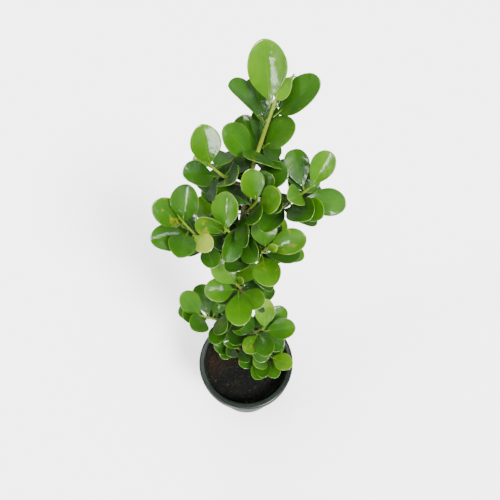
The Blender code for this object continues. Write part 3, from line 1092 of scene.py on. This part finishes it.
print("pot profile:", len(pot_profile()), "points")


# %% Pot plastic
def plastic_finish():
    g = Finish("pot_plastic", Specular_IOR_Level=0.35, Coat_Weight=0.2, Coat_Roughness=0.20)
    place = g.place()
    haze = g.noise(28.0, 4.0, 0.6, place)
    fine = g.noise(1100.0, 3.0, 0.6, place)
    rings = g.add("ShaderNodeMapping", {"Vector": place, "Scale": (1.0, 1.0, 7.0)})
    scuff = g.span(g.noise(120.0, 5.0, 0.7, rings, 0.4), 0.60, 0.72)
    colour = g.ramp(haze, ((0.3, (0.0040, 0.0068, 0.0046)), (0.7, (0.0070, 0.0108, 0.0078))))
    colour = g.mix(g.maths("MULTIPLY", scuff, 0.25), colour, (0.050, 0.062, 0.052))
    height = g.add("ShaderNodeSeparateXYZ", {"Vector": place}, output="Z")
    dusty = g.span(height, SOIL_TOP + 3 * MM, SOIL_TOP + 15 * MM, 1.0, 0.0)
    dusty = g.maths("MULTIPLY", dusty, g.span(height, SOIL_TOP - 3 * MM, SOIL_TOP))
    dusty = g.maths("MULTIPLY", dusty, g.span(g.noise(220.0, 4.0, 0.7, place), 0.46, 0.60))
    colour = g.mix(g.maths("MULTIPLY", dusty, 0.45), colour, (0.040, 0.022, 0.012))
    rough = g.span(haze, 0.3, 0.7, 0.28, 0.42)
    rough = g.maths("ADD", rough, g.maths("MULTIPLY", g.maths("MAXIMUM", scuff, dusty), 0.25))
    return g.finish(colour, rough, g.bump(fine, 0.00006, 0.5))


pot_plastic = plastic_finish()
print("the plastic's finish has", len(pot_plastic.node_tree.nodes), "nodes")


# %% Spin the pot and drill its floor
def build_pot():
    bm = bmesh.new()
    spun(bm, pot_profile(), 128)
    shade_smooth(bm)
    pot = new_piece("pot_fine", bm, pot_plastic)
    bm = bmesh.new()
    reach = BASE - WALL - 4 * MM - DRAIN
    for i in range(DRAINS):
        angle = math.tau * (i + 0.5) / DRAINS
        spot = Matrix.Translation((reach * math.cos(angle), reach * math.sin(angle), 1 * MM))
        bmesh.ops.create_cone(
            bm, cap_ends=True, segments=24, radius1=DRAIN, radius2=DRAIN, depth=9 * MM, matrix=spot)
    punch = new_piece("punch", bm)
    cut = pot.modifiers.new("drain", "BOOLEAN")
    cut.operation = "DIFFERENCE"
    cut.object = punch
    cut.solver = "EXACT"
    graph = bpy.context.evaluated_depsgraph_get()
    mesh = bpy.data.meshes.new_from_object(pot.evaluated_get(graph))
    pot.modifiers.clear()
    pot.data = mesh
    bpy.data.objects.remove(punch)
    return pot


pot = build_pot()
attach(pot, "root")
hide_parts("pot")
print("pot:", len(pot.data.polygons), "faces")

# %% [markdown]
# ## The soil
#
# The soil is a fine disc, lumpy from three sizes of noise, with a skirt that goes down
# inside the pot. A bump alone could draw the lumps, but moved vertices give them true
# shadows and a place for the crumbs to lie. Crumbs, bark chips and fibres are each one
# joined mesh of many small shapes with few faces, since hundreds of separate objects
# would be slow to handle.


# %% Soil
SOIL_EDGE = wall_radius(SOIL_TOP) - WALL - 0.2 * MM
SOIL_FOOT = 3.2 * MM
SOIL_TONES = (
    (0.30, (0.0005, 0.0008, 0.0005)),
    (0.50, (0.0012, 0.0017, 0.0011)),
    (0.66, (0.0030, 0.0036, 0.0023)),
    (0.80, (0.0100, 0.0092, 0.0056)),
)


def soil_height(x, y):
    r = math.hypot(x, y) / SOIL_EDGE
    swell = 3.0 * MM * max(0.0, 1 - r * r) ** 0.8
    p = Vector((x, y, 0.3))
    lumps = noise.noise(p * 90) * 1.1 + noise.noise(p * 240) * 0.9 + noise.noise(p * 620) * 0.6
    return SOIL_TOP - 0.9 * MM + swell + lumps * MM * (0.85 if r < 0.93 else 0.45)


def soil_finish():
    g = Finish("potting_soil", Specular_IOR_Level=0.15)
    place = g.place()
    grain = g.noise(420.0, 5.0, 0.7, place)
    patch = g.noise(38.0, 3.0, 0.5, place)
    colour = g.ramp(grain, SOIL_TONES)
    # Brighter and reddish: the painted light of the lit soil, which is dry and reddish there
    warm_and_lit = g.mix(1.0, colour, (8.5, 3.6, 2.2), "MULTIPLY")
    # Painted light: the soil at the back and left, which the key lamp reaches over the pot's
    # wall, is brightened and reddened, on soil that is dry and reddish there; the front and
    # right keep the dark moist tone, which also stands for the shade of the wall
    spot = g.add("ShaderNodeSeparateXYZ", {"Vector": place}, output="Y")
    aside = g.add("ShaderNodeSeparateXYZ", {"Vector": place}, output="X")
    lit_back_and_dry = g.span(g.maths("MULTIPLY_ADD", aside, -0.5, spot), 0.000, 0.034)
    lit_back_and_dry = g.maths("MULTIPLY", lit_back_and_dry, g.span(patch, 0.30, 0.60, 0.4, 1.0))
    colour = g.mix(lit_back_and_dry, colour, warm_and_lit)
    rough = g.span(grain, 0.3, 0.7, 0.98, 0.86)
    return g.finish(colour, rough, g.bump(grain, 0.0015, 0.9))


def build_soil():
    bm = bmesh.new()
    steps = 46
    profile = [Vector((SOIL_EDGE * i / steps, 0, SOIL_TOP)) for i in range(steps + 1)]
    for height in (80 * MM, 40 * MM, SOIL_FOOT):
        profile.append(Vector((wall_radius(height) - WALL - 0.3 * MM, 0, height)))
    profile.append(Vector((0, 0, SOIL_FOOT)))
    spun(bm, profile, 120)
    for vert in bm.verts:
        if vert.co.z > SOIL_TOP - 1 * MM:
            vert.co.z = soil_height(vert.co.x, vert.co.y)
    bm.normal_update()
    shade_smooth(bm)
    return new_piece("soil_fine", bm, soil_finish())


soil = build_soil()
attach(soil, "root")
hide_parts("soil")
print("soil:", len(soil.data.polygons), "faces")


# %% Crumbs, chips and fibres on the soil
def crumb_finish(name, dark, light):
    g = Finish(name, Specular_IOR_Level=0.25, Roughness=0.92)
    place = g.place()
    lump = g.noise(160.0, 2.0, 0.5, place)
    grain = g.noise(900.0, 4.0, 0.65, place)
    colour = g.ramp(lump, ((0.35, dark), (0.65, light)))
    colour = g.mix(g.span(grain, 0.3, 0.7, 0.35, 0.0), colour, (0.004, 0.003, 0.002))
    return g.finish(colour, None, g.bump(grain, 0.0005, 0.8))


def on_soil(rng, reach):
    """A spot on the soil, as far out as a share of its radius, but clear of the trunk."""
    while True:
        radius = math.sqrt(rng.random()) * reach * SOIL_EDGE
        angle = rng.uniform(0, math.tau)
        x, y = radius * math.cos(angle), radius * math.sin(angle)
        if math.hypot(x, y) > 6 * MM:
            return Vector((x, y, soil_height(x, y)))


def scatter(name, count, low, high, flat, material, seed):
    rng = random.Random(seed)
    bm = bmesh.new()
    for _ in range(count):
        size = low + (high - low) * rng.random() ** 2.5
        spot = on_soil(rng, 0.94)
        heading = Matrix.Rotation(rng.uniform(0, math.tau), 4, "Z")
        turned = heading @ Matrix.Rotation(rng.uniform(-0.5, 0.5), 4, "X")
        width = size * rng.uniform(0.6, 1.0)
        shape = Matrix.Diagonal((size, width, size * flat * rng.uniform(0.7, 1.1), 1))
        made = bmesh.ops.create_icosphere(bm, subdivisions=1, radius=1.0)
        for vert in made["verts"]:
            vert.co *= rng.uniform(0.75, 1.2)
        bmesh.ops.transform(bm, verts=made["verts"], matrix=Matrix.Translation(spot) @ turned @ shape)
    piece = new_piece(name, bm, material)
    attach(piece, "root")
    return piece


def fibres(name, count, material, seed):
    rng = random.Random(seed)
    bm = bmesh.new()
    for _ in range(count):
        spot = on_soil(rng, 0.90)
        heading = rng.uniform(0, math.tau)
        length = rng.uniform(4, 13) * MM
        path = []
        here = Vector((spot.x, spot.y, 0))
        for _ in range(5):
            height = soil_height(here.x, here.y) + rng.uniform(0.2, 0.9) * MM
            path.append(Vector((here.x, here.y, height)))
            heading += rng.uniform(-0.5, 0.5)
            here = here + Vector((math.cos(heading), math.sin(heading), 0)) * length / 4
            if math.hypot(here.x, here.y) > SOIL_EDGE - 1.5 * MM:
                break
        if len(path) > 2:
            size = rng.uniform(0.14, 0.34) * MM
            tube(bm, along_line(path), [size] * len(path), 5)
    bmesh.ops.recalc_face_normals(bm, faces=bm.faces)
    piece = new_piece(name, bm, material)
    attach(piece, "root")
    return piece


dark_crumb = crumb_finish("soil_crumb", (0.001, 0.0013, 0.0009), (0.0040, 0.0042, 0.0028))
red_chip = crumb_finish("bark_chip", (0.004, 0.0025, 0.0015), (0.018, 0.010, 0.005))
straw = crumb_finish("soil_fibre", (0.006, 0.004, 0.002), (0.028, 0.017, 0.009))
scatter("soil_crumbs", 420, 0.5 * MM, 2.4 * MM, 0.8, dark_crumb, 11)
scatter("bark_chips", 90, 0.8 * MM, 3.0 * MM, 0.45, red_chip, 12)
fibres("soil_fibres", 60, straw, 13)
print("crumbs, chips and fibres laid")

# %% [markdown]
# ## The studio
#
# A plain pale floor under a pale world. Lamps close to the plant would light the floor
# unevenly, so these are far and soft: suns of wide angle. Three of them are mirrored in
# the wax: the key high at the front right, a small window at the left and a lamp behind.
# The others only lighten the greens, because their mirror image would veil every leaf in
# grey. For the same reason the floor is not mirrored. The world is dim as a lamp, pale
# where the camera sees it, and in the wax it shows a few soft panels, which give the
# leaves the bright patches of a real studio. The camera looks down steeply from the
# front.


# %% Floor and lamps
def pale_floor():
    bm = bmesh.new()
    bmesh.ops.create_grid(bm, x_segments=1, y_segments=1, size=6.0)
    pale = Finish(
        "studio_floor", Base_Color=(0.92, 0.92, 0.92, 1.0), Roughness=1.0, Specular_IOR_Level=0.0)
    floor = new_piece("studio_floor", bm, pale.material)
    floor.location.z = -0.5 * MM
    floor.visible_glossy = False
    return floor


def soft_sun(name, compass, height, width, strength, mirrored):
    """A far soft lamp: degrees round from the right, degrees up, its width and its power."""
    light = bpy.data.lights.new(name, "SUN")
    light.energy = strength
    light.angle = math.radians(width)
    place = way_of(compass, height)
    lamp = bpy.data.objects.new(name, light)
    lamp.location = place * 3
    lamp.visible_glossy = mirrored
    lamp.rotation_euler = place.to_track_quat("Z", "Y").to_euler()
    bpy.context.scene.collection.objects.link(lamp)
    return lamp


floor = pale_floor()
soft_sun("key_lamp", -50, 50, 17, 9.3, True)
soft_sun("front_lamp", -82, 14, 24, 0.8, False)
soft_sun("window_lamp", 195, 48, 8, 0.9, True)
soft_sun("back_lamp", 95, 62, 10, 0.9, True)
soft_sun("fill_lamp", 150, 55, 50, 1.8, False)
soft_sun("top_lamp", -90, 82, 60, 5.8, False)
print("the floor is", floor.dimensions.x, "m wide")

# %% The world and the panels that the wax mirrors
PANELS = (
    # degrees round from the right, degrees up, half its width in degrees, strength
    (-116, -3, 8, 28),
    (-108, -26, 9, 28),
    (-143, 43, 8, 30),
    (2, 12, 8, 16),
    (-90, -90, 42, 0.70),
)
WORLD_AS_LAMP = 0.30
WORLD_SEEN = 4.2


def studio_world():
    world = bpy.data.worlds.new("studio")
    g = Graph(world)
    way = g.add("ShaderNodeTexCoord", {}, output="Generated")
    panels = 0.0
    for compass, height, half, strength in PANELS:
        near = g.add(
            "ShaderNodeVectorMath", {0: way, 1: way_of(compass, height)}, output="Value",
            operation="DOT_PRODUCT")
        inputs = {"Value": near, "To Max": strength}
        inputs["From Min"] = math.cos(math.radians(half * 1.3))
        inputs["From Max"] = math.cos(math.radians(half * 0.8))
        panel = g.add("ShaderNodeMapRange", inputs, interpolation_type="SMOOTHSTEP")
        panels = g.maths("ADD", panels, panel)
    to_camera = g.add("ShaderNodeLightPath", {}, output="Is Camera Ray")
    to_mirror = g.add("ShaderNodeLightPath", {}, output="Is Glossy Ray")
    plain = g.span(to_camera, 0.0, 1.0, WORLD_AS_LAMP, WORLD_SEEN)
    back = g.tree.nodes["Background"]
    back.inputs["Color"].default_value = (1, 1, 1, 1)
    g.feed(back.inputs["Strength"], g.maths("MULTIPLY_ADD", panels, to_mirror, plain))
    return world


bpy.context.scene.world = studio_world()
print(len(PANELS), "mirrored panels")

# %% Camera
camera_data = bpy.data.cameras.new("camera")
camera_data.lens = 36
camera_data.sensor_width = 36
camera = bpy.data.objects.new("camera", camera_data)
camera.location = (5.5 * MM, -207.4 * MM, 796.6 * MM)
camera.rotation_euler = (math.radians(29.5), 0, 0)
bpy.context.scene.collection.objects.link(camera)
bpy.context.scene.camera = camera
print("the camera looks down from", round(camera.location.z / MM), "mm")
